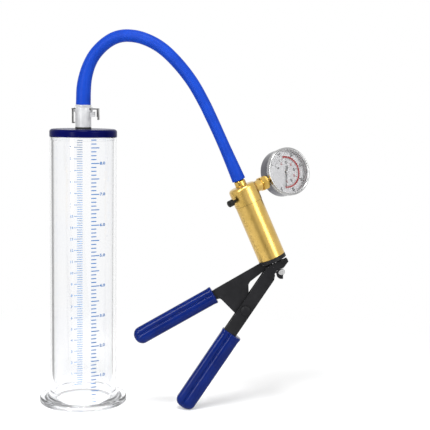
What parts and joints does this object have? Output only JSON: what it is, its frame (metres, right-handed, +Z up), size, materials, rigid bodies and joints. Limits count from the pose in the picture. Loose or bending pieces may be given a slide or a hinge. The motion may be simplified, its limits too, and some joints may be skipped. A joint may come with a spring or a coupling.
{
  "type": "hand vacuum pump",
  "caption": "Brass squeeze-handle vacuum pump with dial gauge and blue hose, latched to a clear graduated measuring chamber on an open flanged base.",
  "frame": {"origin": "centre of the chamber's open mouth, in the plane of the floor", "axes": "+Z up the chamber's axis; +X from the chamber towards the pump; +Y away from the front, where the scales and the dial are read"},
  "size_m": [0.2279, 0.074, 0.3158],
  "materials": {
    "clear_glass": "gloss",
    "clear_fitting": "gloss",
    "navy_plastic": "gloss",
    "black_rubber": "matte",
    "blue_hose": "satin",
    "blue_vinyl": "gloss",
    "brass": "polished",
    "black_steel": "satin",
    "bright_steel": "satin",
    "dark_steel": "polished",
    "chrome": "polished",
    "dial_plate": "satin",
    "aluminium": "satin",
    "black_plastic": "satin"
  },
  "bodies": {
    "chamber": {"chamber_tube": "clear_glass", "base_flange": "clear_glass", "end_cap": "navy_plastic", "cap_spigot": "clear_fitting", "coupling_gasket": "black_rubber", "coupling_body": "clear_fitting"},
    "latch": {"thumb_latch": "bright_steel"},
    "pump": {"coupling_insert": "clear_fitting", "insert_oring": "black_rubber", "hose": "blue_hose", "hose_barb": "brass", "pump_head": "brass", "head_oring": "black_rubber", "inlet_valve": "black_rubber", "barrel": "brass", "rod_bush": "black_plastic", "return_spring": "bright_steel", "gauge_nut": "brass", "gauge_stem": "brass", "gauge_case": "dark_steel", "gauge_bezel": "chrome", "gauge_lens": "clear_fitting", "gauge_dial": "dial_plate", "gauge_movement": "brass", "bourdon_tube": "brass", "fixed_handle": "black_steel", "fixed_grip": "blue_vinyl", "pivot_rivet": "black_steel", "washer_front": "bright_steel", "washer_back": "bright_steel"},
    "lever": {"moving_handle": "black_steel", "moving_grip": "blue_vinyl"},
    "piston_group": {"piston": "aluminium", "piston_oring": "black_rubber", "piston_rod": "bright_steel", "rod_pin": "bright_steel", "pin_clip": "black_steel"},
    "needle": {"gauge_needle": "black_plastic"},
    "bleed_stem_body": {"bleed_stem": "black_plastic"},
    "bleed_knob_body": {"bleed_knob": "black_plastic"}
  },
  "joints": [
    {"name": "uncouple", "type": "slide", "parent": "chamber", "child": "pump", "axis": [0, 0, 1], "range_m": [0, 0.018]},
    {"name": "latch_press", "type": "slide", "parent": "chamber", "child": "latch", "axis": [-1, 0, 0], "range_m": [0, 0.0015], "stiffness_N_per_m": 200, "springref_m": -0.001},
    {"name": "squeeze", "type": "hinge", "parent": "pump", "child": "lever", "pos_m": [0.13786, -0.02, 0.08567], "axis": [0, 1, 0], "range_deg": [0, 22], "stiffness_Nm_per_rad": 1.5, "springref_deg": -9.74},
    {"name": "piston_slide", "type": "slide", "parent": "pump", "child": "piston_group", "axis": [0.4067, 0, -0.9135], "range_m": [0, 0.015], "deforming": ["return_spring"]},
    {"name": "needle_turn", "type": "hinge", "parent": "pump", "child": "needle", "pos_m": [0.1696, 0.00363, 0.19908], "axis": [0.4841, -0.848, 0.2155], "range_deg": [0, 250], "stiffness_Nm_per_rad": 0.000005, "springref_deg": -22.92},
    {"name": "bleed_travel", "type": "slide", "parent": "pump", "child": "bleed_stem_body", "axis": [-0.6998, -0.6428, -0.3116], "range_m": [0, 0.00105]},
    {"name": "bleed_turn", "type": "hinge", "parent": "bleed_stem_body", "child": "bleed_knob_body", "pos_m": [0.12796, -0.02755, 0.17748], "axis": [-0.6998, -0.6428, -0.3116], "range_deg": [0, 540]}
  ],
  "couplings": [
    {"joint": "squeeze", "follows": "piston_slide", "rad_per_m": 25.598},
    {"joint": "bleed_turn", "follows": "bleed_travel", "rad_per_m": 8975}
  ]
}
